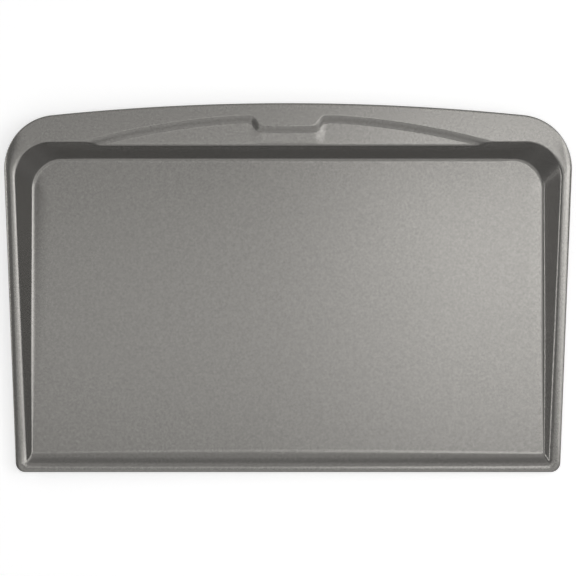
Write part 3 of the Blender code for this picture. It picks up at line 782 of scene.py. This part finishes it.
def finished(name, half, trees):
    """A whole sheet as one plain mesh, after the trees, the mirror and the thickness."""
    draft = bpy.data.objects.new(name + " draft", half)
    bpy.context.scene.collection.objects.link(draft)
    for tree, values, identifiers in trees:
        run_tree(draft, tree, values, identifiers)
    mirror = draft.modifiers.new("other half", "MIRROR")
    mirror.use_axis = (True, False, False)
    mirror.merge_threshold = MERGE_DISTANCE
    solidify = draft.modifiers.new("thickness", "SOLIDIFY")
    solidify.thickness = THICKNESS
    solidify.offset = -1.0
    solidify.use_even_offset = True
    depsgraph = bpy.context.evaluated_depsgraph_get()
    mesh = bpy.data.meshes.new_from_object(draft.evaluated_get(depsgraph))
    bpy.data.objects.remove(draft)
    mesh.name = name
    mesh.shade_smooth()
    mesh.set_sharp_from_angle(angle=SHARP_ANGLE)
    sheet = bpy.data.objects.new(name, mesh)
    bpy.context.scene.collection.objects.link(sheet)
    return sheet


# %% The baking sheet
panel_values = {**PANEL_SIZES, "Coating": top_coating}
baking_sheet = finished(
    "coated_baking_sheet",
    half_mesh("upper half", top_rows, []),
    [(panel_tree, panel_values, panel_inputs)],
)
print("baking sheet:", len(baking_sheet.data.polygons), "faces")

# %% [markdown]
# The base sheet is pressed by the same tree, with its level lower by the sheet's thickness and the clearance,
# as the two sheets are formed together. Then it gets its spacers.

# %% The base sheet
spacer_places = [
    ((column + 0.5) * SPACER_PITCH[0], MIDDLE_Y + (row - (SPACER_COUNT[1] - 1) / 2) * SPACER_PITCH[1])
    for column in range(SPACER_COUNT[0])
    for row in range(SPACER_COUNT[1])
]
spacer_values = {
    "Spacer": spacer,
    "Columns": SPACER_COUNT[0],
    "Rows": SPACER_COUNT[1],
    "Column Pitch": SPACER_PITCH[0],
    "Row Pitch": SPACER_PITCH[1],
    "Middle X": SPACER_PITCH[0] * SPACER_COUNT[0] / 2,
    "Middle Y": MIDDLE_Y,
    "Floor Level": BASE_FLOOR_Z,
    "Seam Distance": MERGE_DISTANCE,
    "Coating": underside_coating,
}
base_values = {**PANEL_SIZES, "Handle Level": HANDLE_Z - NEST, "Coating": underside_coating}
base_sheet = finished(
    "coated_base_sheet",
    half_mesh("lower half", base_rows, spacer_places),
    [(panel_tree, base_values, panel_inputs), (spacer_tree, spacer_values, spacer_inputs)],
)
bpy.data.objects.remove(spacer)
print("base sheet:", len(base_sheet.data.polygons), "faces,", 2 * len(spacer_places), "spacers")

# %% Join them to the frame
for piece, node_name, slot in (
    (baking_sheet, "baking_sheet", "top_coating"),
    (base_sheet, "base_sheet", "underside_coating"),
):
    print(node_name, "is in the frame:", node_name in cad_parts)
    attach(piece, "root")
    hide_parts(node_name)
    print(piece.name, "replaces", node_name, "in slot", slot)


# %% [markdown]
# ## Floor and light
# Satin metal shows what is round it, so the lights are the picture. Soft panels overhead are brightest on
# the right and weaker on the left, which gives the floor its slow change from side to side. A low window on
# the left draws the thin lines along the bends, and weak boards light the lip and the rim from the back and
# the front. The sky is dim, which is why the steep walls look darker than the floor.

# %% The floor
FLOOR_REACH, FLOOR_GLOW = 3.0, 0.55
FLOOR_WHITE = (0.86, 0.86, 0.86, 1.0)


def pale_floor():
    """A white floor that keeps the shadow. It glows to the camera and in reflections, and lights nothing."""
    bm = bmesh.new()
    corners = ((-1, -1), (1, -1), (1, 1), (-1, 1))
    bm.faces.new([bm.verts.new((x * FLOOR_REACH, y * FLOOR_REACH, 0.0)) for x, y in corners])
    mesh = bpy.data.meshes.new("floor")
    bm.to_mesh(mesh)
    bm.free()
    floor = bpy.data.objects.new("floor", mesh)
    bpy.context.scene.collection.objects.link(floor)
    material = bpy.data.materials.new("pale_floor")
    material.use_nodes = True
    tree = material.node_tree
    nodes, link, f = tree.nodes, tree.links.new, Formula(tree)
    shader, ray = nodes["Principled BSDF"], nodes.new("ShaderNodeLightPath")
    shader.inputs["Base Color"].default_value = FLOOR_WHITE
    shader.inputs["Roughness"].default_value = 1.0
    shader.inputs["Emission Color"].default_value = (1.0, 1.0, 1.0, 1.0)
    seen = f.math("MAXIMUM", ray.outputs["Is Camera Ray"], ray.outputs["Is Glossy Ray"])
    seen = f.math("MAXIMUM", seen, ray.outputs["Is Transmission Ray"])
    link(f.mul(seen, FLOOR_GLOW), shader.inputs["Emission Strength"])
    floor.data.materials.append(material)
    return floor


pale_floor()
print("floor:", 2 * FLOOR_REACH, "m square")

# %% The lights
def area_light(name, width, height, strength):
    """A rectangular light. Strength is its brightness as seen, where white is 1."""
    lamp = bpy.data.lights.new(name, "AREA")
    lamp.shape, lamp.size, lamp.size_y = "RECTANGLE", width, height
    lamp.energy = strength * math.pi * width * height
    holder = bpy.data.objects.new(name, lamp)
    holder.visible_camera = False
    bpy.context.scene.collection.objects.link(holder)
    return holder


CEILING_HEIGHT = 1.35
STANDING_DISTANCE = 2.2
KEY_SPAN, INNER_SPAN, LEFT_SPAN = (0.75, 2.2), (0.1, 0.75), (-0.5, 0.1)


def ceiling_panel(name, x_range, y_range, strength):
    """A light that faces down and covers this part of the ceiling."""
    panel = area_light(name, x_range[1] - x_range[0], y_range[1] - y_range[0], strength)
    panel.location = (sum(x_range) / 2, sum(y_range) / 2, CEILING_HEIGHT)


def standing_light(name, azimuth, from_vertical, width, height, strength):
    """A light that faces the middle of the sheet, so many degrees round it and down from straight up."""
    light = area_light(name, width, height, strength)
    around, down = math.radians(azimuth), math.radians(from_vertical)
    across = math.sin(down)
    towards = Vector((across * math.cos(around), across * math.sin(around), math.cos(down)))
    light.location = towards * STANDING_DISTANCE
    light.rotation_euler = towards.to_track_quat("Z", "Y").to_euler()


# Each row: name, span from left to right, span from front to back, strength.
for row in (
    ("key panel front", KEY_SPAN, (-1.3, -0.4), 0.55),
    ("key panel", KEY_SPAN, (-0.4, -0.05), 1.3),
    ("bright key panel", KEY_SPAN, (-0.05, 0.36), 2.5),
    ("key panel back", KEY_SPAN, (0.36, 1.6), 0.8),
    ("inner panel", INNER_SPAN, (-0.26, 0.0), 1.2),
    ("bright inner panel", INNER_SPAN, (0.0, 0.2), 1.82),
    ("inner panel back", INNER_SPAN, (0.2, 1.2), 0.22),
    ("inner panel front", INNER_SPAN, (-1.2, -0.45), 0.45),
    ("left ceiling front", (-0.9, 0.1), (-1.2, -0.45), 0.45),
    ("left ceiling", LEFT_SPAN, (-0.26, 0.12), 0.66),
    ("left ceiling back", LEFT_SPAN, (0.12, 1.2), 0.27),
):
    ceiling_panel(*row)

standing_light("left window", azimuth=165.0, from_vertical=65.0, width=2.2, height=0.34, strength=2.7)
standing_light("back board", azimuth=90.0, from_vertical=62.0, width=2.2, height=1.8, strength=0.15)
standing_light("front board", azimuth=270.0, from_vertical=52.0, width=2.0, height=0.6, strength=0.40)

# %% The sky
LOW_SKY, HIGH_SKY = (0.12, 0.12, 0.12, 1.0), (0.19, 0.19, 0.19, 1.0)
SKY_CHANGE = (0.45, 0.55)


def sky():
    """A dim grey sky, darker low down."""
    world = bpy.data.worlds.new("studio")
    world.use_nodes = True
    tree = world.node_tree
    nodes, link = tree.nodes, tree.links.new
    apart = nodes.new("ShaderNodeSeparateXYZ")
    link(nodes.new("ShaderNodeTexCoord").outputs["Generated"], apart.inputs[0])
    ramp = nodes.new("ShaderNodeValToRGB")
    for stop, place, colour in zip(ramp.color_ramp.elements, SKY_CHANGE, (LOW_SKY, HIGH_SKY)):
        stop.position = place
        stop.color = colour
    link(apart.outputs[2], ramp.inputs["Fac"])
    link(ramp.outputs["Color"], nodes["Background"].inputs["Color"])
    bpy.context.scene.world = world


sky()
print("sky:", bpy.context.scene.world.name)

# %% [markdown]
# ## Camera
# The sheet was photographed from straight above. A long lens keeps perspective small: a camera 2 m up with a
# 163 mm lens on a 36 mm sensor shows the sheet at the size that it has in the photo.

# %% Camera and colour
CAMERA_HEIGHT = 2.0
FOCAL_LENGTH, SENSOR_WIDTH = 162.6, 36.0

camera_data = bpy.data.cameras.new("camera")
camera_data.lens = FOCAL_LENGTH
camera_data.sensor_width = SENSOR_WIDTH
camera = bpy.data.objects.new("camera", camera_data)
camera.location = (0.0, 0.0, CAMERA_HEIGHT)
bpy.context.scene.collection.objects.link(camera)
bpy.context.scene.camera = camera
bpy.context.scene.view_settings.view_transform = "Standard"
print("camera", CAMERA_HEIGHT, "m up, lens", FOCAL_LENGTH, "mm")
